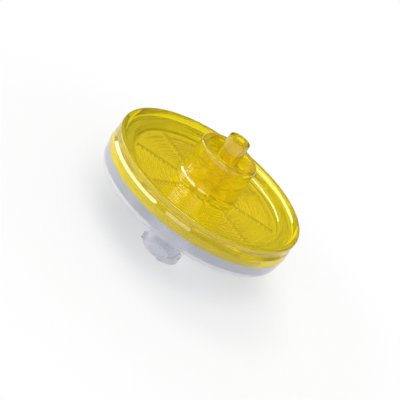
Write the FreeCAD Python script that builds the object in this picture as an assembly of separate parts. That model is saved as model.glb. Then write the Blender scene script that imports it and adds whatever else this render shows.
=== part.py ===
import FreeCAD, Part
import math
import os

# Syringe filter with Luer-lock connections.
# The flow enters the female Luer lock at the bottom, spreads under a round membrane, passes up
# through it, gathers in the channels of the outlet housing and leaves through the male Luer lock.
# Millimetres. +Z is the axis of symmetry and points to the outlet. The origin is the centre of
# the inlet's mouth, which is the flat end that the filter stands on.

Vector = FreeCAD.Vector
AXIS = Vector(0, 0, 1)
CENTRE = Vector(0, 0, 0)

# ---- Luer connections (ISO 80369-7) --------------------------------------------------------
LUER_TAPER = 0.06                 # change of diameter for each millimetre of length
THREAD_LEAD = 5.0                 # two starts at a pitch of 2.5
THREAD_STARTS = 2
THREAD_ROOT_SINK = 0.25           # how far a ridge is rooted in the wall that carries it

# ---- outside of the housing: every radius of the two halves follows from the rim ------------
RIM_DIAMETER = 36.0               # top rim of the outlet housing
JOINT_FLARE = 0.15                # the joint of the two housings stands out beyond the rim
BASE_INSET = 0.4                  # the base's bottom edge stands in from the joint
HUB_LENGTH = 10.35                # mouth of the inlet to the bottom edge of the base
BASE_HEIGHT = 2.78                # bottom edge of the base to the joint
OUTLET_HEIGHT = 3.63              # joint to the top rim
BASE_EDGE_ROUND = 0.6

# ---- outlet housing: rim, groove, sunk top --------------------------------------------------
RIM_BAND_HEIGHT = 1.41            # plain band above the grip groove
RIM_WIDTH = 0.95                  # flat top of the rim
RIM_SLOPE_WIDTH = 0.45            # sloped inner wall of the rim
GROOVE_HEIGHT = 0.8
GROOVE_DEPTH = 0.4
SHELF_DROP = 1.04                 # rim down to the shelf inside it
WINDOW_DROP = 2.02                # rim down to the window
SHELF_SLOPE_WIDTH = 0.43          # sloped wall from the shelf down to the window
WINDOW_MARGIN = 0.55              # plain edge of the window outside its drained field
SLOPE_ROUND = 0.8                 # foot and top of the two sloped walls
EDGE_ROUND = 0.25
WINDOW_WALL = 1.05                # window down to the roof of the ring channels

# ---- outlet housing: collar and nozzle ------------------------------------------------------
NOZZLE_RISE = 8.64                # rim up to the tip of the nozzle
NOZZLE_TIP_DIAMETER = 3.97
NOZZLE_TIP_ROUND = 0.15
NOZZLE_BORE = 1.6
COLLAR_RISE = 5.68                # rim up to the top of the collar
COLLAR_DIAMETER = 10.86
COLLAR_DRAFT_DEGREES = 1.2
COLLAR_EDGE_ROUND = 0.5
COLLAR_MOUTH_ROUND = 0.3
FOOT_RING_DIAMETER = 11.64        # low ring round the collar's foot
FOOT_RING_RISE = 1.22             # window up to the top of the ring's plain wall
FOOT_RING_BEVEL_HEIGHT = 0.4      # bevel from the ring's wall to the collar's
FOOT_RING_EDGE_ROUND = 0.12
COLLAR_BORE = 8.1                 # root of the lock thread
COLLAR_THREAD_CREST = 7.1
COLLAR_THREAD_ROOT_WIDTH = 1.0
COLLAR_THREAD_CREST_WIDTH = 0.4
COLLAR_THREAD_TOP_GAP = 0.5       # plain lead-in above the thread
COLLAR_THREAD_FLOOR_GAP = 1.2     # run-out below the thread
COLLAR_THREAD_START_DEGREES = 75.0
POCKET_DEPTH = 6.8                # collar top down to the floor round the nozzle
FUNNEL_DIAMETER = 4.6             # widened foot of the bore, over the membrane
FUNNEL_HEIGHT = 1.6

# ---- drainage channels under the window ----------------------------------------------------
CHANNEL_DEPTH = 0.45              # ring channels
SPOKE_DEPTH = 0.75                # radial channels that lead to the bore
CHANNEL_PITCH = 0.86
CHANNEL_WIDTH = 0.48
CHANNEL_FIRST_RADIUS = 3.3
SPOKE_COUNT = 8
SPOKE_WIDTH = 1.0
SPOKE_FIRST_DEGREES = 8.8

# ---- membrane and its clamp -----------------------------------------------------------------
MEMBRANE_THICKNESS = 0.2
MEMBRANE_EDGE_GAP = 0.15          # membrane edge to the tongue round it
CLAMP_WIDTH = 1.14                # edge of the membrane that the two housings clamp

# ---- tongue and groove that are welded together ---------------------------------------------
SKIRT_WALL = 1.8                  # rim's outside to the groove that takes the tongue
TONGUE_WIDTH = 1.05
TONGUE_HEIGHT = 1.3
WELD_GAP = 0.03

# ---- inlet housing --------------------------------------------------------------------------
MOUTH_DIAMETER = 4.30
SOCKET_DEPTH = 8.0
INLET_BORE = 1.8
HUB_DIAMETER = 6.4
HUB_DRAFT_DEGREES = 1.5
HUB_FOOT_ROUND = 1.2
HUB_EDGE_ROUND = 0.1
LIP_DIAMETER = 6.9                # lip round the mouth, which passes the mating thread's crest
LIP_HEIGHT = 0.25
LUG_CREST_DIAMETER = 7.8
LUG_ROOT_WIDTH = 1.5
LUG_CREST_WIDTH = 0.9
LUG_SWEEP_DEGREES = 95.0
LUG_START_DEGREES = -80.0
LUG_SUNK_START = 0.5              # how far below the mouth a lug's helix begins
CHAMBER_HEIGHT = 0.75             # chamber floor up to the membrane
FLOOR_THICKNESS = 1.35
BASE_FOOT_WIDTH = 1.5             # ring that stands proud under the base
SPREADER_LONG_COUNT = 8
SPREADER_WIDTH = 0.6
SPREADER_HEIGHT = 0.4
SPREADER_START_RADIUS = 2.4
SPREADER_SHORT_START_RADIUS = 7.2
SPREADER_END_GAP = 0.6            # spreader rib's end to the chamber's wall

# ---- modelling ------------------------------------------------------------------------------
CUT_OVERRUN = 1.0                 # how far a cutter reaches past the face that it opens
SMALLEST_EDGE = 1e-6

# ---- heights and radii that follow ----------------------------------------------------------
BASE_Z = HUB_LENGTH
JOINT_Z = BASE_Z + BASE_HEIGHT
RIM_Z = JOINT_Z + OUTLET_HEIGHT
SHELF_Z = RIM_Z - SHELF_DROP
WINDOW_Z = RIM_Z - WINDOW_DROP
FOOT_RING_Z = WINDOW_Z + FOOT_RING_RISE
COLLAR_FOOT_Z = FOOT_RING_Z + FOOT_RING_BEVEL_HEIGHT
MEMBRANE_TOP_Z = WINDOW_Z - WINDOW_WALL - CHANNEL_DEPTH
MEMBRANE_Z = MEMBRANE_TOP_Z - MEMBRANE_THICKNESS
CHAMBER_Z = MEMBRANE_Z - CHAMBER_HEIGHT
UNDERSIDE_Z = CHAMBER_Z - FLOOR_THICKNESS
COLLAR_Z = RIM_Z + COLLAR_RISE
POCKET_Z = COLLAR_Z - POCKET_DEPTH
TIP_Z = RIM_Z + NOZZLE_RISE

RIM_RADIUS = RIM_DIAMETER / 2
JOINT_RADIUS = RIM_RADIUS + JOINT_FLARE
BASE_RADIUS = JOINT_RADIUS - BASE_INSET
TONGUE_OUT_RADIUS = RIM_RADIUS - SKIRT_WALL
TONGUE_IN_RADIUS = TONGUE_OUT_RADIUS - TONGUE_WIDTH
MEMBRANE_RADIUS = TONGUE_IN_RADIUS - MEMBRANE_EDGE_GAP
DRAINED_RADIUS = MEMBRANE_RADIUS - CLAMP_WIDTH
WINDOW_RADIUS = DRAINED_RADIUS + WINDOW_MARGIN
SHELF_INNER_RADIUS = WINDOW_RADIUS + SHELF_SLOPE_WIDTH
TONGUE_Z = JOINT_Z + TONGUE_HEIGHT


def corner(before, point, after):
    """Return the start, middle and end of the arc that rounds a corner of an outline."""
    here = Vector(point[0], 0, point[1])
    back = Vector(before[0], 0, before[1]) - here
    ahead = Vector(after[0], 0, after[1]) - here
    half_angle = back.getAngle(ahead) / 2
    reach = min(point[2] / math.tan(half_angle), back.Length * 0.49, ahead.Length * 0.49)
    radius = reach * math.tan(half_angle)
    back.normalize()
    ahead.normalize()
    inward = (back + ahead).normalize()
    middle = here + inward * (radius / math.sin(half_angle) - radius)
    return here + back * reach, middle, here + ahead * reach


def turned(points):
    """Turn a closed outline of (radius, height, rounding) points about the axis."""
    edges = []
    ends = []
    for index, point in enumerate(points):
        if point[2] > 0:
            start, middle, end = corner(points[index - 1], point, points[(index + 1) % len(points)])
            edges.append(Part.Arc(start, middle, end).toShape())
        else:
            start = end = Vector(point[0], 0, point[1])
        ends.append((start, end))
    for index in range(len(points)):
        leave = ends[index - 1][1]
        reach = ends[index][0]
        if leave.distanceToPoint(reach) > SMALLEST_EDGE:
            edges.append(Part.makeLine(leave, reach))
    outline = Part.Wire(Part.__sortEdges__(edges))
    return Part.Face(outline).revolve(CENTRE, AXIS, 360)


def ring(inner_radius, outer_radius, bottom, top):
    """Return a plain ring between two radii and two heights."""
    outer = Part.makeCylinder(outer_radius, top - bottom, Vector(0, 0, bottom))
    return outer.cut(Part.makeCylinder(inner_radius, top - bottom, Vector(0, 0, bottom)))


def spoke(start_radius, end_radius, width, bottom, top, degrees):
    """Return a straight radial bar between two radii and two heights."""
    bar = Part.makeBox(end_radius - start_radius, width, top - bottom,
                       Vector(start_radius, -width / 2, bottom))
    bar.rotate(CENTRE, AXIS, degrees)
    return bar


def helical_ridge(wall_radius, crest_radius, root_width, crest_width, start_z, sweep, degrees):
    """Sweep a trapezoid ridge along a right-hand helix from a wall to its crest."""
    outward = 1 if crest_radius > wall_radius else -1
    root_radius = wall_radius - outward * THREAD_ROOT_SINK
    height = THREAD_LEAD * sweep / 360
    path = Part.makeHelix(THREAD_LEAD, height, wall_radius)
    section = Part.makePolygon([
        Vector(root_radius, 0, -root_width / 2),
        Vector(crest_radius, 0, -crest_width / 2),
        Vector(crest_radius, 0, crest_width / 2),
        Vector(root_radius, 0, root_width / 2),
        Vector(root_radius, 0, -root_width / 2)])
    ridge = Part.Wire(path.Edges).makePipeShell([section], True, True)
    ridge.rotate(CENTRE, AXIS, degrees)
    ridge.translate(Vector(0, 0, start_z))
    return ridge


def nozzle_radius(height):
    """Return the male cone's radius at a height."""
    return NOZZLE_TIP_DIAMETER / 2 + (TIP_Z - height) * LUER_TAPER / 2


def socket_radius(height):
    """Return the female cone's radius at a height."""
    return MOUTH_DIAMETER / 2 - height * LUER_TAPER / 2


def collar_thread():
    """Return the two ridges of the lock thread inside the collar."""
    top = COLLAR_Z - COLLAR_THREAD_TOP_GAP - COLLAR_THREAD_ROOT_WIDTH / 2
    bottom = POCKET_Z + COLLAR_THREAD_FLOOR_GAP + COLLAR_THREAD_ROOT_WIDTH / 2
    sweep = (top - bottom) / THREAD_LEAD * 360
    ridges = []
    for start in range(THREAD_STARTS):
        ridges.append(helical_ridge(COLLAR_BORE / 2, COLLAR_THREAD_CREST / 2,
                                    COLLAR_THREAD_ROOT_WIDTH, COLLAR_THREAD_CREST_WIDTH,
                                    bottom, sweep,
                                    COLLAR_THREAD_START_DEGREES + start * 360 / THREAD_STARTS))
    return ridges


def drainage():
    """Return the cutters for the ring channels and spokes under the window."""
    cutters = []
    below = MEMBRANE_TOP_Z - CUT_OVERRUN
    roof = MEMBRANE_TOP_Z + CHANNEL_DEPTH
    count = int((DRAINED_RADIUS - CHANNEL_WIDTH - CHANNEL_FIRST_RADIUS) / CHANNEL_PITCH) + 1
    for index in range(count):
        inner = CHANNEL_FIRST_RADIUS + index * CHANNEL_PITCH
        cutters.append(ring(inner, inner + CHANNEL_WIDTH, below, roof))
    for index in range(SPOKE_COUNT):
        cutters.append(spoke(0, DRAINED_RADIUS, SPOKE_WIDTH, below, MEMBRANE_TOP_Z + SPOKE_DEPTH,
                             SPOKE_FIRST_DEGREES + index * 360 / SPOKE_COUNT))
    return cutters


def outlet_housing():
    """Build the coloured half: rim, window, drainage channels, collar and nozzle."""
    foot_radius = (COLLAR_DIAMETER / 2
                   + (COLLAR_Z - COLLAR_FOOT_Z) * math.tan(math.radians(COLLAR_DRAFT_DEGREES)))
    groove_top_z = RIM_Z - RIM_BAND_HEIGHT
    groove_bottom_z = groove_top_z - GROOVE_HEIGHT
    slope_top_radius = RIM_RADIUS - RIM_WIDTH
    body = turned([
        (NOZZLE_BORE / 2, TIP_Z, 0),
        (NOZZLE_TIP_DIAMETER / 2, TIP_Z, NOZZLE_TIP_ROUND),
        (nozzle_radius(POCKET_Z), POCKET_Z, EDGE_ROUND),
        (COLLAR_BORE / 2, POCKET_Z, EDGE_ROUND),
        (COLLAR_BORE / 2, COLLAR_Z, COLLAR_MOUTH_ROUND),
        (COLLAR_DIAMETER / 2, COLLAR_Z, COLLAR_EDGE_ROUND),
        (foot_radius, COLLAR_FOOT_Z, EDGE_ROUND),
        (FOOT_RING_DIAMETER / 2, FOOT_RING_Z, FOOT_RING_EDGE_ROUND),
        (FOOT_RING_DIAMETER / 2, WINDOW_Z, FOOT_RING_EDGE_ROUND),
        (WINDOW_RADIUS, WINDOW_Z, SLOPE_ROUND),
        (SHELF_INNER_RADIUS, SHELF_Z, SLOPE_ROUND),
        (slope_top_radius - RIM_SLOPE_WIDTH, SHELF_Z, SLOPE_ROUND),
        (slope_top_radius, RIM_Z, SLOPE_ROUND),
        (RIM_RADIUS, RIM_Z, EDGE_ROUND),
        (RIM_RADIUS, groove_top_z, EDGE_ROUND / 2),
        (RIM_RADIUS - GROOVE_DEPTH, groove_top_z - GROOVE_DEPTH / 2, EDGE_ROUND / 2),
        (RIM_RADIUS, groove_bottom_z, EDGE_ROUND / 2),
        (JOINT_RADIUS, JOINT_Z, 0),
        (TONGUE_OUT_RADIUS + WELD_GAP, JOINT_Z, 0),
        (TONGUE_OUT_RADIUS + WELD_GAP, TONGUE_Z + WELD_GAP, 0),
        (TONGUE_IN_RADIUS - WELD_GAP, TONGUE_Z + WELD_GAP, 0),
        (TONGUE_IN_RADIUS - WELD_GAP, MEMBRANE_TOP_Z, 0),
        (FUNNEL_DIAMETER / 2, MEMBRANE_TOP_Z, 0),
        (NOZZLE_BORE / 2, MEMBRANE_TOP_Z + FUNNEL_HEIGHT, 0)])
    threaded = body.fuse(collar_thread())
    return threaded.cut(drainage()).removeSplitter()


def lugs():
    """Return the lock lugs at the inlet's mouth, cut off level with the mouth."""
    above_mouth = Part.makeCylinder(LUG_CREST_DIAMETER / 2 + CUT_OVERRUN, HUB_LENGTH)
    parts = []
    for start in range(THREAD_STARTS):
        ridge = helical_ridge(HUB_DIAMETER / 2, LUG_CREST_DIAMETER / 2, LUG_ROOT_WIDTH,
                              LUG_CREST_WIDTH, -LUG_SUNK_START, LUG_SWEEP_DEGREES,
                              LUG_START_DEGREES + start * 360 / THREAD_STARTS)
        parts.append(ridge.common(above_mouth))
    return parts


def spreaders():
    """Return the ribs that spread the flow over the chamber's floor."""
    bars = []
    for index in range(2 * SPREADER_LONG_COUNT):
        start = SPREADER_SHORT_START_RADIUS if index % 2 else SPREADER_START_RADIUS
        bars.append(spoke(start, DRAINED_RADIUS - SPREADER_END_GAP, SPREADER_WIDTH,
                          CHAMBER_Z - FLOOR_THICKNESS / 2, CHAMBER_Z + SPREADER_HEIGHT,
                          SPOKE_FIRST_DEGREES + index * 180 / SPREADER_LONG_COUNT))
    return bars


def inlet_housing():
    """Build the clear half: hub with its female cone and lugs, floor, chamber and tongue."""
    foot_radius = (HUB_DIAMETER / 2
                   + UNDERSIDE_Z * math.tan(math.radians(HUB_DRAFT_DEGREES)))
    body = turned([
        (socket_radius(0), 0, 0),
        (LIP_DIAMETER / 2, 0, HUB_EDGE_ROUND),
        (LIP_DIAMETER / 2, LIP_HEIGHT, HUB_EDGE_ROUND),
        (HUB_DIAMETER / 2, LIP_HEIGHT, HUB_EDGE_ROUND),
        (foot_radius, UNDERSIDE_Z, HUB_FOOT_ROUND),
        (BASE_RADIUS - BASE_FOOT_WIDTH, UNDERSIDE_Z, EDGE_ROUND),
        (BASE_RADIUS - BASE_FOOT_WIDTH, BASE_Z, EDGE_ROUND),
        (BASE_RADIUS, BASE_Z, BASE_EDGE_ROUND),
        (JOINT_RADIUS, JOINT_Z, 0),
        (TONGUE_OUT_RADIUS, JOINT_Z, 0),
        (TONGUE_OUT_RADIUS, TONGUE_Z, 0),
        (TONGUE_IN_RADIUS, TONGUE_Z, 0),
        (TONGUE_IN_RADIUS, MEMBRANE_Z, 0),
        (DRAINED_RADIUS, MEMBRANE_Z, 0),
        (DRAINED_RADIUS, CHAMBER_Z, EDGE_ROUND),
        (INLET_BORE / 2, CHAMBER_Z, 0),
        (INLET_BORE / 2, SOCKET_DEPTH, 0),
        (socket_radius(SOCKET_DEPTH), SOCKET_DEPTH, 0)])
    return body.fuse(lugs() + spreaders()).removeSplitter()


def membrane():
    """Build the round filter membrane that the two housings clamp at its edge."""
    return Part.makeCylinder(MEMBRANE_RADIUS, MEMBRANE_THICKNESS, Vector(0, 0, MEMBRANE_Z))


def main():
    """Build every piece and write each to its own STEP file."""
    os.makedirs("parts", exist_ok=True)
    pieces = {
        "outlet_housing": outlet_housing(),
        "inlet_housing": inlet_housing(),
        "membrane": membrane(),
    }
    for name, shape in pieces.items():
        shape.exportStep("parts/" + name + ".step")
        print(name, "solids", len(shape.Solids), "valid", shape.isValid(),
              "volume", round(shape.Volume, 2))


main()
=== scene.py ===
"""The look of a round syringe filter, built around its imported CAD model.

The coloured outlet half and the clear inlet half are turned shells of see-through plastic with the
drainage channels, lock threads and ribs that the solids have. Between them lies the white membrane.
Sizes are in millimetres and become metres where a mesh is made.
"""

import logging
import math
from dataclasses import dataclass
from enum import Enum
from typing import Any, Sequence

import bmesh
import bpy
from mathutils import Matrix, Vector


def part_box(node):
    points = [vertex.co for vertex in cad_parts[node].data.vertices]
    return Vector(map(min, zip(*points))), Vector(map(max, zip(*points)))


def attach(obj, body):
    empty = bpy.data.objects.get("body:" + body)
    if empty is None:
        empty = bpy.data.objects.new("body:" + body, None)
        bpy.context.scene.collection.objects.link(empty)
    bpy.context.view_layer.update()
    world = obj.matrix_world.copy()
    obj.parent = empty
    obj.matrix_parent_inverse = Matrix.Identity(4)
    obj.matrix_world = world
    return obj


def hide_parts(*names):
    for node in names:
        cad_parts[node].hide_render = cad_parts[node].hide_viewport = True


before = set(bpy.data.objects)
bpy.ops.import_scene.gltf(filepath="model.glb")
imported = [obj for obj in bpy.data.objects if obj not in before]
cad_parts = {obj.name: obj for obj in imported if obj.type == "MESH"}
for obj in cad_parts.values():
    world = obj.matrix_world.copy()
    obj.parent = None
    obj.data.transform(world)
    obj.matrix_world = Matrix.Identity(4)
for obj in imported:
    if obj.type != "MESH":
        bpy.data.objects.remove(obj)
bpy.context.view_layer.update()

LOG = logging.getLogger("syringe_filter")
MM = 0.001
BODY = "root"
SEGMENTS = 256                  # round every turned surface
ARC_STEP = math.radians(15)     # coarsest turn between two points of a rounded corner
SIDE_SHARE = 0.49               # share of a side that the rounding of one corner may take
SHARP_ANGLE = math.radians(28)
WELD_DISTANCE = 1e-7            # metres
GUIDE_RADIUS = 1.0              # circle that carries an outline while it is turned
CUT_OVERRUN = 1.0               # how far a cutter reaches past the face that it opens

Colour = tuple[float, float, float]
Direction = tuple[float, float, float]
Corner = tuple[float, float, float]     # radius, height and rounding


# ---- node trees ----


class Value:
    """A number in a node tree. Its operators add the Math nodes that work them out."""

    def __init__(self, graph: "Graph", socket: bpy.types.NodeSocket) -> None:
        """Wrap an output socket of a graph."""
        self.graph = graph
        self.socket = socket

    def math(self, operation: str, *others: Any) -> "Value":
        """Return the result of a Math node on this value and others.

        Args:
            operation: What the node works out.
            others: Its further inputs.

        Returns:
            The node's output.
        """
        sockets = dict(enumerate((self, *others)))
        node = self.graph.node("ShaderNodeMath", {"operation": operation}, sockets)
        return Value(self.graph, node.outputs[0])

    def swapped(self, operation: str, first: Any) -> "Value":
        """Return a Math node whose first value is another one."""
        node = self.graph.node("ShaderNodeMath", {"operation": operation}, {0: first, 1: self})
        return Value(self.graph, node.outputs[0])

    def __add__(self, other: Any) -> "Value":
        """Add."""
        return self.math("ADD", other)

    def __radd__(self, other: Any) -> "Value":
        """Add, reflected."""
        return self.swapped("ADD", other)

    def __sub__(self, other: Any) -> "Value":
        """Subtract."""
        return self.math("SUBTRACT", other)

    def __rsub__(self, other: Any) -> "Value":
        """Subtract, reflected."""
        return self.swapped("SUBTRACT", other)

    def __mul__(self, other: Any) -> "Value":
        """Multiply."""
        return self.math("MULTIPLY", other)

    def __rmul__(self, other: Any) -> "Value":
        """Multiply, reflected."""
        return self.swapped("MULTIPLY", other)

    def __truediv__(self, other: Any) -> "Value":
        """Divide."""
        return self.math("DIVIDE", other)

    def __mod__(self, other: Any) -> "Value":
        """Remainder."""
        return self.math("FLOORED_MODULO", other)

    def sin(self) -> "Value":
        """Sine of an angle in radians."""
        return self.math("SINE")

    def cos(self) -> "Value":
        """Cosine of an angle in radians."""
        return self.math("COSINE")

    def clamped(self) -> "Value":
        """This value, kept between 0 and 1."""
        return self.math("MAXIMUM", 0.0).math("MINIMUM", 1.0)


class Graph:
    """A node tree that is filled through one method."""

    def __init__(self, tree: bpy.types.NodeTree) -> None:
        """Start with an empty tree."""
        self.tree = tree
        tree.nodes.clear()

    def node(self, kind: str, settings: dict[str, Any] | None = None,
             sockets: dict[int | str, Any] | None = None) -> bpy.types.Node:
        """Add a node.

        Args:
            kind: The node's type.
            settings: Its properties.
            sockets: Values or outputs for its inputs, by index, name or identifier.

        Returns:
            The new node.
        """
        node = self.tree.nodes.new(kind)
        for name, value in (settings or {}).items():
            setattr(node, name, value)
        for key, value in (sockets or {}).items():
            self.feed(self.find(node.inputs, key), value)
        return node

    def value(self, kind: str, settings: dict[str, Any] | None = None,
              sockets: dict[int | str, Any] | None = None, output: int | str = 0) -> Value:
        """Add a node and return one of its outputs as a value."""
        return Value(self, self.find(self.node(kind, settings, sockets).outputs, output))

    def feed(self, socket: bpy.types.NodeSocket, value: Any) -> None:
        """Link a value, node or socket to an input, or set the input's own value.

        Args:
            socket: The input.
            value: What it gets.
        """
        if isinstance(value, Value):
            value = value.socket
        elif isinstance(value, bpy.types.Node):
            value = value.outputs[0]
        if isinstance(value, bpy.types.NodeSocket):
            self.tree.links.new(value, socket)
        elif socket.type == "RGBA" and len(value) == 3:
            socket.default_value = (*value, 1.0)
        else:
            socket.default_value = value

    @staticmethod
    def find(sockets: Any, key: int | str) -> bpy.types.NodeSocket:
        """Return one of a node's inputs or outputs by index, identifier or name."""
        exact = [socket for socket in sockets if socket.identifier == key]
        return exact[0] if exact else sockets[key]


class ShaderMaths(Graph):
    """The node tree of a material or of the world."""

    def position(self) -> Value:
        """The point on the surface in the object's own coordinates, in metres."""
        return self.value("ShaderNodeTexCoord", output="Object")

    def noise(self, per_millimetre: float, detail: float, stretch: Direction = (1, 1, 1)) -> Value:
        """Return fractal noise between 0 and 1.

        Args:
            per_millimetre: How many features there are in a millimetre.
            detail: How many finer layers are added.
            stretch: Scale along each axis.

        Returns:
            The noise.
        """
        place = self.value("ShaderNodeMapping", sockets={"Vector": self.position(), "Scale": stretch})
        return self.value("ShaderNodeTexNoise",
                          sockets={"Vector": place, "Scale": per_millimetre / MM, "Detail": detail})

    def blend(self, factor: Any, first: Any, second: Any) -> Value:
        """Return a mix of two colours."""
        return self.value("ShaderNodeMix", {"data_type": "RGBA"},
                          {"Factor_Float": factor, "A_Color": first, "B_Color": second},
                          "Result_Color")

    def bump(self, height: Any, millimetres: float, normal: Any = None) -> Value:
        """Return the normal of a surface raised by a height map.

        Args:
            height: The height map, from 0 to 1.
            millimetres: How far a height of 1 stands out.
            normal: The surface's normal before, where it is bumped already.

        Returns:
            The new normal.
        """
        sockets = {"Height": height, "Distance": millimetres * MM}
        if normal is not None:
            sockets["Normal"] = normal
        return self.value("ShaderNodeBump", sockets=sockets)


class ShapeRule(Graph):
    """A Geometry Nodes tree with named inputs that ends in Realize Instances and Set Material."""

    def __init__(self, name: str, inputs: dict[str, str]) -> None:
        """Make the tree with an input geometry, its named inputs and a material.

        Args:
            name: Name of the tree.
            inputs: Its inputs' names and socket types.
        """
        tree = bpy.data.node_groups.new(name, "GeometryNodeTree")
        tree.interface.new_socket("Geometry", in_out="INPUT", socket_type="NodeSocketGeometry")
        for label, kind in {**inputs, "Material": "Material"}.items():
            tree.interface.new_socket(label, in_out="INPUT", socket_type="NodeSocket" + kind)
        tree.interface.new_socket("Geometry", in_out="OUTPUT", socket_type="NodeSocketGeometry")
        super().__init__(tree)
        self.entry = self.node("NodeGroupInput")

    def given(self, label: str) -> Value:
        """Return one of the tree's inputs."""
        return Value(self, self.entry.outputs[label])

    def vector(self, x: Any, y: Any, z: Any) -> Value:
        """Return a vector made of three numbers."""
        return self.value("ShaderNodeCombineXYZ", sockets={0: x, 1: y, 2: z})

    def finish(self, geometry: Any) -> bpy.types.NodeTree:
        """Close the tree.

        Args:
            geometry: What it makes.

        Returns:
            The tree.
        """
        real = self.node("GeometryNodeRealizeInstances", sockets={"Geometry": geometry})
        dressed = self.node("GeometryNodeSetMaterial",
                            sockets={"Geometry": real, "Material": self.given("Material")})
        self.node("NodeGroupOutput", sockets={0: dressed})
        return self.tree

    @staticmethod
    def grow(name: str, tree: bpy.types.NodeTree, inputs: dict[str, Any],
             start: bpy.types.Mesh | None = None) -> bpy.types.Object:
        """Run a tree once and return its result as a plain mesh object.

        Args:
            name: Name of the new object.
            tree: The Geometry Nodes tree.
            inputs: Values of its named inputs.
            start: The mesh that the tree begins with.

        Returns:
            The new object, in the scene and without a modifier.
        """
        host = placed(name, start or bpy.data.meshes.new(name))
        modifier = host.modifiers.new(name, "NODES")
        modifier.node_group = tree
        for item in tree.interface.items_tree:
            if item.in_out == "INPUT" and item.name in inputs:
                modifier[item.identifier] = inputs[item.name]
        mesh = evaluated(host)
        bpy.data.objects.remove(host)
        with_outward_faces(mesh)
        return placed(name, mesh)


# ---- meshes ----


class Solid(Enum):
    """How a second solid changes a first one."""

    ADD = "UNION"
    CUT = "DIFFERENCE"
    KEEP = "INTERSECT"


def placed(name: str, data: Any) -> bpy.types.Object:
    """Return a new object of the scene.

    Args:
        name: Its name.
        data: Its mesh, camera or lamp.

    Returns:
        The object.
    """
    thing = bpy.data.objects.new(name, data)
    bpy.context.scene.collection.objects.link(thing)
    return thing


def evaluated(thing: bpy.types.Object) -> bpy.types.Mesh:
    """Return the mesh of an object with its modifiers applied."""
    depsgraph = bpy.context.evaluated_depsgraph_get()
    return bpy.data.meshes.new_from_object(thing.evaluated_get(depsgraph), depsgraph=depsgraph)


def combine(first: bpy.types.Object, second: bpy.types.Object, how: Solid) -> None:
    """Change a closed mesh by another one, which is then removed.

    Args:
        first: The mesh that is changed.
        second: The mesh that changes it.
        how: Whether it is added, cut away or kept.
    """
    modifier = first.modifiers.new("solid", "BOOLEAN")
    modifier.operation = how.value
    modifier.solver = "MANIFOLD"
    modifier.object = second
    mesh = evaluated(first)
    first.modifiers.clear()
    first.data = mesh
    bpy.data.objects.remove(second)


def arc_points(before: Vector, here: Vector, after: Vector, radius: float) -> list[Vector]:
    """Return the points of the arc that rounds a corner of an outline.

    Args:
        before: The corner before it.
        here: The corner itself.
        after: The corner after it.
        radius: Radius of the rounding, which its two sides may limit.

    Returns:
        The points, from the side before to the side after.
    """
    back = before - here
    ahead = after - here
    half = back.angle(ahead) / 2
    reach = min(radius / math.tan(half), back.length * SIDE_SHARE, ahead.length * SIDE_SHARE)
    radius = reach * math.tan(half)
    centre = here + (back.normalized() + ahead.normalized()).normalized() * (radius / math.sin(half))
    start = here + back.normalized() * reach - centre
    end = here + ahead.normalized() * reach - centre
    sweep = start.angle_signed(end)
    steps = max(2, math.ceil(abs(sweep) / ARC_STEP))
    turns = [Matrix.Rotation(-sweep * step / steps, 2) for step in range(steps + 1)]
    return [centre + turn @ start for turn in turns]


def outline_mesh(corners: Sequence[Corner], closed: bool) -> bpy.types.Mesh:
    """Return an outline as a mesh of edges in the XZ plane.

    Args:
        corners: Its corners in order.
        closed: Whether it ends where it begins.

    Returns:
        The mesh, in metres.
    """
    places = [Vector(corner[:2]) for corner in corners]
    points: list[Vector] = []
    for index, (place, corner) in enumerate(zip(places, corners)):
        if corner[2] > 0:
            after = places[(index + 1) % len(places)]
            points += arc_points(places[index - 1], place, after, corner[2])
        else:
            points.append(place)
    edges = [(index, index + 1) for index in range(len(points) - 1)]
    if closed:
        edges.append((len(points) - 1, 0))
    mesh = bpy.data.meshes.new("outline")
    mesh.from_pydata([(point.x * MM, 0.0, point.y * MM) for point in points], edges, [])
    return mesh


def with_outward_faces(mesh: bpy.types.Mesh) -> None:
    """Weld closed shells, turn their faces outwards and make them smooth.

    Args:
        mesh: The shells, which are changed in place.
    """
    shell = bmesh.new()
    shell.from_mesh(mesh)
    bmesh.ops.remove_doubles(shell, verts=shell.verts, dist=WELD_DISTANCE)
    bmesh.ops.dissolve_degenerate(shell, dist=WELD_DISTANCE, edges=shell.edges)
    bmesh.ops.recalc_face_normals(shell, faces=shell.faces)
    if shell.calc_volume(signed=True) < 0:
        bmesh.ops.reverse_faces(shell, faces=shell.faces)
    for face in shell.faces:
        face.smooth = True
        face.material_index = 0
    shell.to_mesh(mesh)
    shell.free()


def shade(thing: bpy.types.Object, material: bpy.types.Material) -> None:
    """Give a closed shell its finish and smooth, area-weighted shading with crisp edges.

    Args:
        thing: The shell.
        material: Its finish.
    """
    with_outward_faces(thing.data)
    thing.data.set_sharp_from_angle(angle=SHARP_ANGLE)
    modifier = thing.modifiers.new("normals", "WEIGHTED_NORMAL")
    modifier.keep_sharp = True
    mesh = evaluated(thing)
    thing.modifiers.clear()
    thing.data = mesh
    mesh.name = thing.name
    mesh.materials.clear()
    mesh.materials.append(material)


# ---- shape rules ----


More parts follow.
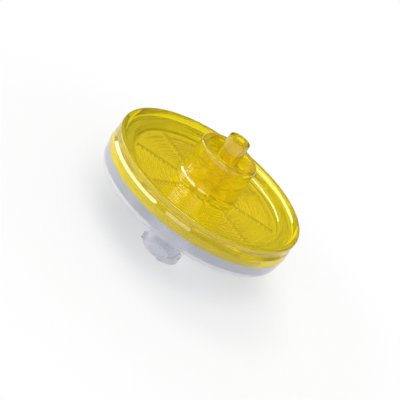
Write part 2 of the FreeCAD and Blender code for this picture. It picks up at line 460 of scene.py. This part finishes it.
def turning_rule() -> bpy.types.NodeTree:
    """Return the tree that turns an outline in the XZ plane about the axis.

    Returns:
        The tree, whose geometry is the outline.
    """
    rule = ShapeRule("turning", {"Segments": "Int", "Guide Radius": "Float"})
    guide = rule.given("Guide Radius")
    place = rule.node("ShaderNodeSeparateXYZ", sockets={0: rule.node("GeometryNodeInputPosition")})
    flat = rule.vector(Value(rule, place.outputs[0]) - guide, 0.0 - Value(rule, place.outputs[2]), 0.0)
    profile = rule.node("GeometryNodeSetPosition",
                        sockets={"Geometry": rule.given("Geometry"), "Position": flat})
    profile = rule.node("GeometryNodeMeshToCurve", sockets={"Mesh": profile})
    circle = rule.node("GeometryNodeCurvePrimitiveCircle",
                       sockets={"Resolution": rule.given("Segments"), "Radius": guide})
    upright = rule.node("GeometryNodeSetCurveNormal", {"mode": "Z_UP"}, {"Curve": circle})
    return rule.finish(rule.node("GeometryNodeCurveToMesh",
                                 sockets={"Curve": upright, "Profile Curve": profile}))


def rings_rule() -> bpy.types.NodeTree:
    """Return the tree for a row of coaxial rings of one width, such as ring channels.

    Returns:
        The tree, which needs no geometry.
    """
    rule = ShapeRule("rings", {"Count": "Int", "Segments": "Int", "First Radius": "Float",
                               "Pitch": "Float", "Width": "Float", "Bottom": "Float",
                               "Top": "Float"})
    bottom = rule.given("Bottom")
    height = rule.given("Top") - bottom
    index = rule.value("GeometryNodeInputIndex")
    radius = rule.given("First Radius") + index * rule.given("Pitch") + rule.given("Width") * 0.5
    places = rule.node("GeometryNodePoints",
                       sockets={"Count": rule.given("Count"),
                                "Position": rule.vector(0.0, 0.0, bottom + height * 0.5)})
    circle = rule.node("GeometryNodeCurvePrimitiveCircle",
                       sockets={"Resolution": rule.given("Segments"), "Radius": 1.0})
    circles = rule.node("GeometryNodeInstanceOnPoints",
                        sockets={"Points": places, "Instance": circle,
                                 "Scale": rule.vector(radius, radius, 1.0)})
    paths = rule.node("GeometryNodeRealizeInstances", sockets={"Geometry": circles})
    upright = rule.node("GeometryNodeSetCurveNormal", {"mode": "Z_UP"}, {"Curve": paths})
    section = rule.node("GeometryNodeCurvePrimitiveQuadrilateral",
                        sockets={"Width": rule.given("Width"), "Height": height})
    return rule.finish(rule.node("GeometryNodeCurveToMesh",
                                 sockets={"Curve": upright, "Profile Curve": section}))


def bars_rule() -> bpy.types.NodeTree:
    """Return the tree for radial bars, of which every second one may start further out.

    Returns:
        The tree, which needs no geometry.
    """
    rule = ShapeRule("radial_bars", {"Count": "Int", "Start": "Float", "Second Start": "Float",
                                     "End": "Float", "Width": "Float", "Bottom": "Float",
                                     "Top": "Float", "First Angle": "Float"})
    index = rule.value("GeometryNodeInputIndex")
    odd = index % 2.0
    start = rule.given("Start") * (1.0 - odd) + rule.given("Second Start") * odd
    angle = rule.given("First Angle") + index * math.tau / rule.given("Count")
    middle = (start + rule.given("End")) * 0.5
    level = (rule.given("Bottom") + rule.given("Top")) * 0.5
    places = rule.node("GeometryNodePoints",
                       sockets={"Count": rule.given("Count"),
                                "Position": rule.vector(middle * angle.cos(),
                                                        middle * angle.sin(), level)})
    turn = rule.node("FunctionNodeAxisAngleToRotation", sockets={"Axis": (0, 0, 1), "Angle": angle})
    size = rule.vector(rule.given("End") - start, rule.given("Width"),
                       rule.given("Top") - rule.given("Bottom"))
    return rule.finish(rule.node("GeometryNodeInstanceOnPoints",
                                 sockets={"Points": places,
                                          "Instance": rule.node("GeometryNodeMeshCube"),
                                          "Rotation": turn, "Scale": size}))


def thread_rule() -> bpy.types.NodeTree:
    """Return the tree for the right-hand ridges of a lock thread on a round wall.

    Returns:
        The tree, which needs no geometry.
    """
    rule = ShapeRule("lock_thread", {"Starts": "Int", "Steps": "Int", "Lead": "Float",
                                     "Sweep": "Float", "Root Radius": "Float",
                                     "Crest Radius": "Float", "Root Width": "Float",
                                     "Crest Width": "Float", "First Angle": "Float",
                                     "First Height": "Float"})
    line = rule.node("GeometryNodeCurvePrimitiveLine", sockets={"Start": (0, 0, 0), "End": (0, 0, 1)})
    line = rule.node("GeometryNodeResampleCurve",
                     sockets={"Curve": line, "Count": rule.given("Steps")})
    share = rule.value("GeometryNodeSplineParameter")
    angle = share * rule.given("Sweep")
    root = rule.given("Root Radius")
    crest = rule.given("Crest Radius")
    middle = (root + crest) * 0.5
    helix = rule.node("GeometryNodeSetPosition",
                      sockets={"Geometry": line,
                               "Position": rule.vector(middle * angle.cos(), middle * angle.sin(),
                                                       angle / math.tau * rule.given("Lead"))})
    upright = rule.node("GeometryNodeSetCurveNormal", {"mode": "Z_UP"}, {"Curve": helix})
    root_half = rule.given("Root Width") * 0.5
    crest_half = rule.given("Crest Width") * 0.5
    half_depth = (crest - root) * 0.5
    section = rule.node("GeometryNodeCurvePrimitiveQuadrilateral", {"mode": "POINTS"},
                        {"Point 1": rule.vector(0.0 - half_depth, 0.0 - root_half, 0.0),
                         "Point 2": rule.vector(half_depth, 0.0 - crest_half, 0.0),
                         "Point 3": rule.vector(half_depth, crest_half, 0.0),
                         "Point 4": rule.vector(0.0 - half_depth, root_half, 0.0)})
    ridge = rule.node("GeometryNodeCurveToMesh",
                      sockets={"Curve": upright, "Profile Curve": section, "Fill Caps": True})
    index = rule.value("GeometryNodeInputIndex")
    places = rule.node("GeometryNodePoints",
                       sockets={"Count": rule.given("Starts"),
                                "Position": rule.vector(0.0, 0.0, rule.given("First Height"))})
    turn = rule.node("FunctionNodeAxisAngleToRotation",
                     sockets={"Axis": (0, 0, 1),
                              "Angle": rule.given("First Angle")
                              + index * math.tau / rule.given("Starts")})
    return rule.finish(rule.node("GeometryNodeInstanceOnPoints",
                                 sockets={"Points": places, "Instance": ridge, "Rotation": turn}))


@dataclass
class ShapeRules:
    """The Geometry Nodes trees that the pieces share."""

    turning: bpy.types.NodeTree
    rings: bpy.types.NodeTree
    bars: bpy.types.NodeTree
    thread: bpy.types.NodeTree

    @classmethod
    def build(cls) -> "ShapeRules":
        """Build every tree once."""
        return cls(turning_rule(), rings_rule(), bars_rule(), thread_rule())

    def turned(self, name: str, corners: Sequence[Corner], closed: bool = True) -> bpy.types.Object:
        """Return the closed shell that an outline makes about the axis."""
        return ShapeRule.grow(name, self.turning, {"Segments": SEGMENTS, "Guide Radius": GUIDE_RADIUS * MM},
                              outline_mesh(corners, closed))


# ---- finishes ----


@dataclass(frozen=True)
class ClearPlastic:
    """Glossy see-through plastic, coloured by its thickness, with faint flow lines from moulding."""

    name: str
    tint: Colour                # colour of its surface haze
    passed: Colour              # colour that its thickness lets through
    density: float              # absorption for each metre
    clarity: float              # share of the light that goes through rather than scatters
    shadow: float               # share of a lamp's light that each surface lets through
    roughness: float
    refraction: float = 1.57
    grain_roughness: float = 0.012
    grain_per_mm: float = 4.0
    grain_height: float = 0.0002            # millimetres
    flow_per_mm: float = 0.35
    flow_stretch: Direction = (1.0, 1.0, 0.4)
    flow_height: float = 0.002              # millimetres
    flow_tint: float = 0.94                 # brightness of the tint in a flow line

    def material(self) -> bpy.types.Material:
        """Build the node material.

        Returns:
            The material.
        """
        material = bpy.data.materials.new(self.name)
        material.use_nodes = True
        graph = ShaderMaths(material.node_tree)
        flow = graph.noise(self.flow_per_mm, detail=2.0, stretch=self.flow_stretch)
        grain = graph.noise(self.grain_per_mm, detail=3.0)
        deeper = tuple(channel * self.flow_tint for channel in self.tint)
        plastic = graph.node("ShaderNodeBsdfPrincipled", sockets={
            "Base Color": graph.blend(flow, self.tint, deeper),
            "Roughness": self.roughness + self.grain_roughness * grain,
            "IOR": self.refraction,
            "Transmission Weight": self.clarity,
            "Normal": graph.bump(grain, self.grain_height, graph.bump(flow, self.flow_height))})
        lamps = graph.node("ShaderNodeBsdfTransparent", sockets={"Color": (self.shadow,) * 3})
        shadow = graph.node("ShaderNodeLightPath").outputs["Is Shadow Ray"]
        surface = graph.node("ShaderNodeMixShader", sockets={0: shadow, 1: plastic, 2: lamps})
        inside = graph.node("ShaderNodeVolumeAbsorption",
                            sockets={"Color": self.passed, "Density": self.density})
        graph.node("ShaderNodeOutputMaterial", sockets={"Surface": surface, "Volume": inside})
        return material


@dataclass(frozen=True)
class MicroporousSheet:
    """Matt white filter membrane with a fine porous grain."""

    name: str
    light: Colour
    dark: Colour
    pores_per_mm: float = 9.0
    clouds_per_mm: float = 0.25
    roughness: float = 0.82
    pore_roughness: float = 0.14
    pore_height: float = 0.01   # millimetres

    def material(self) -> bpy.types.Material:
        """Build the node material.

        Returns:
            The material.
        """
        material = bpy.data.materials.new(self.name)
        material.use_nodes = True
        graph = ShaderMaths(material.node_tree)
        pores = graph.noise(self.pores_per_mm, detail=4.0)
        clouds = graph.noise(self.clouds_per_mm, detail=1.0)
        shade = (pores * 0.5 + clouds * 0.5).clamped()
        sheet = graph.node("ShaderNodeBsdfPrincipled", sockets={
            "Base Color": graph.blend(shade, self.dark, self.light),
            "Roughness": self.roughness + self.pore_roughness * pores,
            "Normal": graph.bump(pores, self.pore_height)})
        graph.node("ShaderNodeOutputMaterial", sockets={"Surface": sheet})
        return material


# ---- pieces ----


@dataclass
class FilterFrame:
    """Sizes that the pieces share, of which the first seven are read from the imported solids."""

    joint_z: float
    tip_z: float
    joint_radius: float
    tongue_z: float
    membrane_z: float
    membrane_top_z: float
    membrane_radius: float
    luer_taper: float = 0.06
    thread_lead: float = 5.0
    thread_starts: int = 2
    thread_sink: float = 0.25
    edge_round: float = 0.25
    joint_gap: float = 0.012       # hairline of air that shows where the halves meet
    weld_gap: float = 0.03
    tongue_width: float = 1.05
    membrane_edge_gap: float = 0.15
    clamp_width: float = 1.14
    first_angle: float = math.radians(8.8)      # of the spokes and the spreader ribs

    @classmethod
    def read(cls) -> "FilterFrame":
        """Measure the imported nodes.

        Returns:
            The sizes, in millimetres.
        """
        outlet_low, outlet_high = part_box("outlet_housing")
        _, inlet_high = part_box("inlet_housing")
        sheet_low, sheet_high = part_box("membrane")
        return cls(joint_z=outlet_low[2] / MM, tip_z=outlet_high[2] / MM,
                   joint_radius=outlet_high[0] / MM, tongue_z=inlet_high[2] / MM,
                   membrane_z=sheet_low[2] / MM, membrane_top_z=sheet_high[2] / MM,
                   membrane_radius=sheet_high[0] / MM)

    @property
    def tongue_in_radius(self) -> float:
        """Inner radius of the welded tongue."""
        return self.membrane_radius + self.membrane_edge_gap

    @property
    def tongue_out_radius(self) -> float:
        """Outer radius of the welded tongue."""
        return self.tongue_in_radius + self.tongue_width

    @property
    def drained_radius(self) -> float:
        """Radius of the part of the membrane that drains."""
        return self.membrane_radius - self.clamp_width


@dataclass
class OutletHousing:
    """The coloured half: rim, sunk window with its channels, collar with lock thread, nozzle."""

    place: FilterFrame
    rules: ShapeRules
    joint_flare: float = 0.15
    height: float = 3.63
    rim_band_height: float = 1.41
    rim_width: float = 0.95
    rim_slope_width: float = 0.45
    groove_height: float = 0.8
    groove_depth: float = 0.4
    shelf_drop: float = 1.04
    shelf_slope_width: float = 0.43
    window_drop: float = 2.02
    window_margin: float = 0.55
    slope_round: float = 0.8
    nozzle_tip_radius: float = 3.97 / 2
    nozzle_tip_round: float = 0.15
    bore_radius: float = 0.8
    collar_rise: float = 5.68
    collar_radius: float = 5.43
    collar_draft: float = math.radians(1.2)
    collar_edge_round: float = 0.5
    collar_mouth_round: float = 0.3
    collar_bore_radius: float = 4.05
    pocket_depth: float = 6.8
    foot_ring_radius: float = 5.82
    foot_ring_rise: float = 1.22
    foot_ring_bevel: float = 0.4
    foot_ring_round: float = 0.12
    thread_crest_radius: float = 3.55
    thread_root_width: float = 1.0
    thread_crest_width: float = 0.4
    thread_top_gap: float = 0.5
    thread_floor_gap: float = 1.2
    thread_start: float = math.radians(75)
    thread_steps: int = 72
    funnel_radius: float = 2.3
    funnel_height: float = 1.6
    channel_depth: float = 0.45
    channel_pitch: float = 0.86
    channel_width: float = 0.48
    channel_first_radius: float = 3.3
    spoke_depth: float = 0.75
    spoke_width: float = 1.0
    spoke_count: int = 8
    spoke_start_share: float = 0.65     # of the funnel's radius

    @property
    def rim_z(self) -> float:
        """Level of the top rim."""
        return self.place.joint_z + self.height

    @property
    def collar_z(self) -> float:
        """Level of the collar's top."""
        return self.rim_z + self.collar_rise

    @property
    def pocket_z(self) -> float:
        """Level of the floor round the nozzle."""
        return self.collar_z - self.pocket_depth

    def corners(self) -> list[Corner]:
        """Return the outline of the half's section.

        Returns:
            Its corners in order.
        """
        place = self.place
        edge = place.edge_round
        rim_radius = place.joint_radius - self.joint_flare
        shelf_z = self.rim_z - self.shelf_drop
        window_z = self.rim_z - self.window_drop
        window_radius = place.drained_radius + self.window_margin
        slope_top = rim_radius - self.rim_width
        groove_top_z = self.rim_z - self.rim_band_height
        ring_z = window_z + self.foot_ring_rise
        foot_z = ring_z + self.foot_ring_bevel
        foot_radius = self.collar_radius + (self.collar_z - foot_z) * math.tan(self.collar_draft)
        nozzle_foot = self.nozzle_tip_radius + (place.tip_z - self.pocket_z) * place.luer_taper / 2
        gap = place.weld_gap
        return [
            (self.bore_radius, place.tip_z, 0),
            (self.nozzle_tip_radius, place.tip_z, self.nozzle_tip_round),
            (nozzle_foot, self.pocket_z, edge),
            (self.collar_bore_radius, self.pocket_z, edge),
            (self.collar_bore_radius, self.collar_z, self.collar_mouth_round),
            (self.collar_radius, self.collar_z, self.collar_edge_round),
            (foot_radius, foot_z, edge),
            (self.foot_ring_radius, ring_z, self.foot_ring_round),
            (self.foot_ring_radius, window_z, self.foot_ring_round),
            (window_radius, window_z, self.slope_round),
            (window_radius + self.shelf_slope_width, shelf_z, self.slope_round),
            (slope_top - self.rim_slope_width, shelf_z, self.slope_round),
            (slope_top, self.rim_z, self.slope_round),
            (rim_radius, self.rim_z, edge),
            (rim_radius, groove_top_z, edge / 2),
            (rim_radius - self.groove_depth, groove_top_z - self.groove_depth / 2, edge / 2),
            (rim_radius, groove_top_z - self.groove_height, edge / 2),
            (place.joint_radius, place.joint_z + place.joint_gap, 0),
            (place.tongue_out_radius + gap, place.joint_z + place.joint_gap, 0),
            (place.tongue_out_radius + gap, place.tongue_z + gap, 0),
            (place.tongue_in_radius - gap, place.tongue_z + gap, 0),
            (place.tongue_in_radius - gap, place.membrane_top_z + place.joint_gap, 0),
            (self.funnel_radius, place.membrane_top_z + place.joint_gap, 0),
            (self.bore_radius, place.membrane_top_z + self.funnel_height, 0)]

    def thread(self, material: bpy.types.Material) -> bpy.types.Object:
        """Return the two ridges inside the collar.

        Args:
            material: Their finish.

        Returns:
            The ridges.
        """
        half = self.thread_root_width / 2
        bottom = self.pocket_z + self.thread_floor_gap + half
        top = self.collar_z - self.thread_top_gap - half
        return ShapeRule.grow("collar_thread", self.rules.thread, {
            "Starts": self.place.thread_starts, "Steps": self.thread_steps,
            "Lead": self.place.thread_lead * MM,
            "Sweep": (top - bottom) / self.place.thread_lead * math.tau,
            "Root Radius": (self.collar_bore_radius + self.place.thread_sink) * MM,
            "Crest Radius": self.thread_crest_radius * MM,
            "Root Width": self.thread_root_width * MM, "Crest Width": self.thread_crest_width * MM,
            "First Angle": self.thread_start, "First Height": bottom * MM, "Material": material})

    def ring_channels(self, material: bpy.types.Material) -> bpy.types.Object:
        """Return the cutters of the ring channels.

        Args:
            material: Their finish.

        Returns:
            The cutters.
        """
        last = self.place.drained_radius - self.channel_width
        count = int((last - self.channel_first_radius) / self.channel_pitch) + 1
        top = self.place.membrane_top_z
        return ShapeRule.grow("ring_channels", self.rules.rings, {
            "Count": count, "Segments": SEGMENTS, "First Radius": self.channel_first_radius * MM,
            "Pitch": self.channel_pitch * MM, "Width": self.channel_width * MM,
            "Bottom": (top - CUT_OVERRUN) * MM, "Top": (top + self.channel_depth) * MM,
            "Material": material})

    def spokes(self, material: bpy.types.Material) -> bpy.types.Object:
        """Return the cutters of the radial channels, which begin inside the funnel.

        Args:
            material: Their finish.

        Returns:
            The cutters.
        """
        top = self.place.membrane_top_z
        start = self.funnel_radius * self.spoke_start_share * MM
        return ShapeRule.grow("spokes", self.rules.bars, {
            "Count": self.spoke_count, "Start": start, "Second Start": start,
            "End": self.place.drained_radius * MM, "Width": self.spoke_width * MM,
            "Bottom": (top - CUT_OVERRUN) * MM, "Top": (top + self.spoke_depth) * MM,
            "First Angle": self.place.first_angle, "Material": material})

    def build(self, material: bpy.types.Material) -> bpy.types.Object:
        """Build the piece.

        Args:
            material: Its finish.

        Returns:
            The finished shell.
        """
        shell = self.rules.turned("outlet_shell", self.corners())
        combine(shell, self.thread(material), Solid.ADD)
        combine(shell, self.ring_channels(material), Solid.CUT)
        combine(shell, self.spokes(material), Solid.CUT)
        shade(shell, material)
        return shell


@dataclass
class InletHousing:
    """The clear half: hub with its cone and lock lugs, floor, chamber with ribs, tongue."""

    place: FilterFrame
    rules: ShapeRules
    base_inset: float = 0.4
    base_height: float = 2.78
    base_edge_round: float = 0.6
    base_foot_width: float = 1.5
    mouth_radius: float = 2.15
    socket_depth: float = 8.0
    bore_radius: float = 0.9
    hub_radius: float = 3.2
    hub_draft: float = math.radians(1.5)
    hub_foot_round: float = 1.2
    hub_edge_round: float = 0.1
    lip_radius: float = 3.45
    lip_height: float = 0.25
    lug_crest_radius: float = 3.9
    lug_root_width: float = 1.5
    lug_crest_width: float = 0.9
    lug_sweep: float = math.radians(95)
    lug_start: float = math.radians(-80)
    lug_sunk_start: float = 0.5
    lug_steps: int = 48
    lug_room_radius: float = 1.0        # tube above the mouth in which the lugs are kept
    lug_room_height: float = 6.0
    chamber_height: float = 0.75
    floor_thickness: float = 1.35
    spreader_long_count: int = 8
    spreader_width: float = 0.6
    spreader_height: float = 0.4
    spreader_start: float = 2.4
    spreader_short_start: float = 7.2
    spreader_end_gap: float = 0.6

    @property
    def chamber_z(self) -> float:
        """Level of the chamber's floor."""
        return self.place.membrane_z - self.chamber_height

    def corners(self) -> list[Corner]:
        """Return the outline of the half's section.

        Returns:
            Its corners in order.
        """
        place = self.place
        edge = place.edge_round
        base_z = place.joint_z - self.base_height
        base_radius = place.joint_radius - self.base_inset
        underside_z = self.chamber_z - self.floor_thickness
        foot_radius = self.hub_radius + underside_z * math.tan(self.hub_draft)
        socket_end = self.mouth_radius - self.socket_depth * place.luer_taper / 2
        return [
            (self.mouth_radius, 0, 0),
            (self.lip_radius, 0, self.hub_edge_round),
            (self.lip_radius, self.lip_height, self.hub_edge_round),
            (self.hub_radius, self.lip_height, self.hub_edge_round),
            (foot_radius, underside_z, self.hub_foot_round),
            (base_radius - self.base_foot_width, underside_z, edge),
            (base_radius - self.base_foot_width, base_z, edge),
            (base_radius, base_z, self.base_edge_round),
            (place.joint_radius, place.joint_z, 0),
            (place.tongue_out_radius, place.joint_z, 0),
            (place.tongue_out_radius, place.tongue_z, 0),
            (place.tongue_in_radius, place.tongue_z, 0),
            (place.tongue_in_radius, place.membrane_z - place.joint_gap, 0),
            (place.drained_radius, place.membrane_z - place.joint_gap, 0),
            (place.drained_radius, self.chamber_z, edge),
            (self.bore_radius, self.chamber_z, 0),
            (self.bore_radius, self.socket_depth, 0),
            (socket_end, self.socket_depth, 0)]

    def lugs(self, material: bpy.types.Material) -> bpy.types.Object:
        """Return the two lock lugs, cut off level with the mouth.

        Args:
            material: Their finish.

        Returns:
            The lugs.
        """
        lugs = ShapeRule.grow("lugs", self.rules.thread, {
            "Starts": self.place.thread_starts, "Steps": self.lug_steps,
            "Lead": self.place.thread_lead * MM, "Sweep": self.lug_sweep,
            "Root Radius": (self.hub_radius - self.place.thread_sink) * MM,
            "Crest Radius": self.lug_crest_radius * MM, "Root Width": self.lug_root_width * MM,
            "Crest Width": self.lug_crest_width * MM, "First Angle": self.lug_start,
            "First Height": -self.lug_sunk_start * MM, "Material": material})
        inner = self.lug_room_radius
        outer = self.lug_crest_radius + CUT_OVERRUN
        top = self.lug_room_height
        above = self.rules.turned("above_mouth", [
            (inner, 0, 0), (outer, 0, 0), (outer, top, 0), (inner, top, 0)])
        combine(lugs, above, Solid.KEEP)
        return lugs

    def spreaders(self, material: bpy.types.Material) -> bpy.types.Object:
        """Return the ribs on the chamber's floor, long and short in turn.

        Args:
            material: Their finish.

        Returns:
            The ribs.
        """
        return ShapeRule.grow("spreaders", self.rules.bars, {
            "Count": 2 * self.spreader_long_count, "Start": self.spreader_start * MM,
            "Second Start": self.spreader_short_start * MM,
            "End": (self.place.drained_radius - self.spreader_end_gap) * MM,
            "Width": self.spreader_width * MM,
            "Bottom": (self.chamber_z - self.floor_thickness / 2) * MM,
            "Top": (self.chamber_z + self.spreader_height) * MM,
            "First Angle": self.place.first_angle, "Material": material})

    def build(self, material: bpy.types.Material) -> bpy.types.Object:
        """Build the piece.

        Args:
            material: Its finish.

        Returns:
            The finished shell.
        """
        shell = self.rules.turned("inlet_shell", self.corners())
        combine(shell, self.lugs(material), Solid.ADD)
        combine(shell, self.spreaders(material), Solid.ADD)
        shade(shell, material)
        return shell


@dataclass
class Membrane:
    """The round filter membrane that the halves clamp at its edge."""

    place: FilterFrame
    rules: ShapeRules
    edge_round: float = 0.04
    loop_radii: tuple[float, ...] = (0.0, 3.0, 6.0, 9.0, 12.0, 14.0)    # loops in its flat faces

    def build(self, material: bpy.types.Material) -> bpy.types.Object:
        """Build the piece.

        Args:
            material: Its finish.

        Returns:
            The finished shell.
        """
        place = self.place
        bottom = [(radius, place.membrane_z, 0) for radius in self.loop_radii]
        top = [(radius, place.membrane_top_z, 0) for radius in reversed(self.loop_radii)]
        rim = [(place.membrane_radius, place.membrane_z, self.edge_round),
               (place.membrane_radius, place.membrane_top_z, self.edge_round)]
        sheet = self.rules.turned("membrane_sheet", bottom + rim + top, closed=False)
        shade(sheet, material)
        return sheet


# ---- studio ----


@dataclass(frozen=True)
class CameraPose:
    """Where the camera stands, seen from the middle of the rim's top, in millimetres."""

    elevation: float = math.radians(24.557)
    roll: float = math.radians(36.700)
    aside: float = 2.061
    above: float = 3.762
    distance: float = 338.42
    lens: float = 180.0

    def axes(self) -> tuple[Vector, Vector, Vector]:
        """Return the camera's own directions.

        Returns:
            Its right, up and backward directions.
        """
        right = Vector((1, 0, 0))
        back = Vector((0, -math.cos(self.elevation), math.sin(self.elevation)))
        up = back.cross(right)
        across = right * math.cos(self.roll) + up * math.sin(self.roll)
        upward = up * math.cos(self.roll) - right * math.sin(self.roll)
        return across, upward, back

    def place(self, target: Vector) -> None:
        """Make the camera.

        Args:
            target: The middle of the rim's top.
        """
        across, upward, back = self.axes()
        data = bpy.data.cameras.new("camera")
        data.lens = self.lens
        camera = placed("camera", data)
        pose = Matrix((across, upward, back)).transposed().to_4x4()
        offset = back * self.distance - across * self.aside - upward * self.above
        pose.translation = target + offset * MM
        camera.matrix_world = pose
        bpy.context.scene.camera = camera


@dataclass(frozen=True)
class SoftBox:
    """A rectangular lamp that shines on the object from one side of the camera."""

    name: str
    towards: Direction          # across, upward and backward from the object, in camera axes
    distance: float
    width: float
    length: float
    radiance: float
    casts_shadow: bool = True

    def place(self, target: Vector, axes: tuple[Vector, Vector, Vector]) -> None:
        """Make the lamp, turned towards the object, with its length along the camera's view.

        Args:
            target: The point that it shines on.
            axes: The camera's right, up and backward directions.
        """
        offset = Matrix(axes).transposed() @ Vector(self.towards).normalized()
        data = bpy.data.lights.new(self.name, "AREA")
        data.shape = "RECTANGLE"
        data.size = self.width
        data.size_y = self.length
        data.energy = math.pi * self.width * self.length * self.radiance
        data.use_shadow = self.casts_shadow
        lamp = placed(self.name, data)
        side = axes[2].cross(offset).normalized()
        pose = Matrix((side, offset.cross(side), offset)).transposed().to_4x4()
        pose.translation = target + offset * self.distance
        lamp.matrix_world = pose
        lamp.visible_transmission = False


@dataclass(frozen=True)
class Studio:
    """A pale floor and a soft white surround, in metres."""

    floor_size: float = 3.0
    floor_white: float = 0.95
    surround: float = 0.40
    gloss_level: float = 0.08
    shadow_reach: float = 0.018     # from here out the floor's shadows fade into plain white
    white_from: float = 0.055

    def level(self, graph: ShaderMaths, lit: float) -> Value:
        """Return how white the surround is for a ray.

        Args:
            graph: The node tree that uses it.
            lit: The level for rays that light matt surfaces.

        Returns:
            1 for rays from the camera and through clear plastic, and less off gloss.
        """
        path = graph.node("ShaderNodeLightPath")
        camera, glossy, passed, bounces = (
            Value(graph, path.outputs[name])
            for name in ("Is Camera Ray", "Is Glossy Ray", "Is Transmission Ray", "Diffuse Depth"))
        direct = (camera + passed).clamped() * (1.0 - bounces).clamped()
        return lit + (1.0 - lit) * direct + (self.gloss_level - lit) * glossy

    def light_world(self) -> None:
        """Give the scene its white surround."""
        world = bpy.data.worlds.new("surround")
        world.use_nodes = True
        bpy.context.scene.world = world
        graph = ShaderMaths(world.node_tree)
        sky = graph.node("ShaderNodeBackground", sockets={
            "Color": (1.0, 1.0, 1.0), "Strength": self.level(graph, self.surround)})
        graph.node("ShaderNodeOutputWorld", sockets={"Surface": sky})

    def lay_floor(self) -> None:
        """Lay the floor under the object."""
        mesh = bpy.data.meshes.new("floor")
        half = self.floor_size / 2
        mesh.from_pydata([(-half, -half, 0), (half, -half, 0), (half, half, 0), (-half, half, 0)],
                         [], [(0, 1, 2, 3)])
        floor = placed("floor", mesh)
        material = bpy.data.materials.new("floor")
        material.use_nodes = True
        graph = ShaderMaths(material.node_tree)
        matt = graph.node("ShaderNodeBsdfDiffuse", sockets={"Color": (self.floor_white,) * 3})
        white = graph.node("ShaderNodeEmission", sockets={"Color": (1, 1, 1), "Strength": 1.0})
        distance = graph.value("ShaderNodeVectorMath", {"operation": "LENGTH"},
                               {0: graph.position()}, "Value")
        fade = (distance - self.shadow_reach) * (1.0 / (self.white_from - self.shadow_reach))
        share = (self.level(graph, 0.0) * fade.clamped()).clamped()
        mixed = graph.node("ShaderNodeMixShader", sockets={0: share, 1: matt, 2: white})
        graph.node("ShaderNodeOutputMaterial", sockets={"Surface": mixed})
        mesh.materials.append(material)


# ---- the whole ----

OUTLET_PLASTIC = ClearPlastic("clear_yellow_plastic", tint=(0.98, 0.84, 0.04),
                              passed=(0.996, 0.988, 0.02), density=1000.0, clarity=0.85,
                              shadow=0.70, roughness=0.04)
INLET_PLASTIC = ClearPlastic("clear_plastic", tint=(0.74, 0.75, 0.81),
                             passed=(0.80, 0.86, 0.93), density=30.0, clarity=0.72,
                             shadow=0.30, roughness=0.11)
# The membrane's colours are a grey well below its real white: painted shade, standing in for the light that
# the channels and ribs above it hold back.
MEMBRANE_SHEET = MicroporousSheet("white_membrane", light=(0.74, 0.73, 0.70),
                                  dark=(0.69, 0.68, 0.65))

SOFT_BOXES = (
    SoftBox("key_softbox", towards=(-0.53, 0.81, 0.26), distance=1.2, width=0.22, length=2.40,
            radiance=8.5, casts_shadow=False),
    SoftBox("top_softbox", towards=(0.04, 0.89, 0.45), distance=1.2, width=0.60, length=0.60,
            radiance=1.5),
    SoftBox("front_softbox", towards=(0.15, 0.26, 0.97), distance=1.2, width=0.60, length=0.90,
            radiance=3.4))


def main() -> None:
    """Build the pieces in order, dress them and set up the studio."""
    logging.basicConfig(level=logging.INFO, format="%(message)s")
    place = FilterFrame.read()
    rules = ShapeRules.build()
    outlet = OutletHousing(place, rules)
    pieces = {
        "outlet_housing": outlet.build(OUTLET_PLASTIC.material()),
        "inlet_housing": InletHousing(place, rules).build(INLET_PLASTIC.material()),
        "membrane": Membrane(place, rules).build(MEMBRANE_SHEET.material()),
    }
    for node, piece in pieces.items():
        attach(piece, BODY)
        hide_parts(node)
        LOG.info("%s: %d faces", piece.name, len(piece.data.polygons))

    target = Vector((0, 0, outlet.rim_z * MM))
    pose = CameraPose()
    pose.place(target)
    for lamp in SOFT_BOXES:
        lamp.place(target, pose.axes())
    studio = Studio()
    studio.light_world()
    studio.lay_floor()
    bpy.context.scene.view_settings.view_transform = "Standard"


if __name__ == "__main__":
    main()
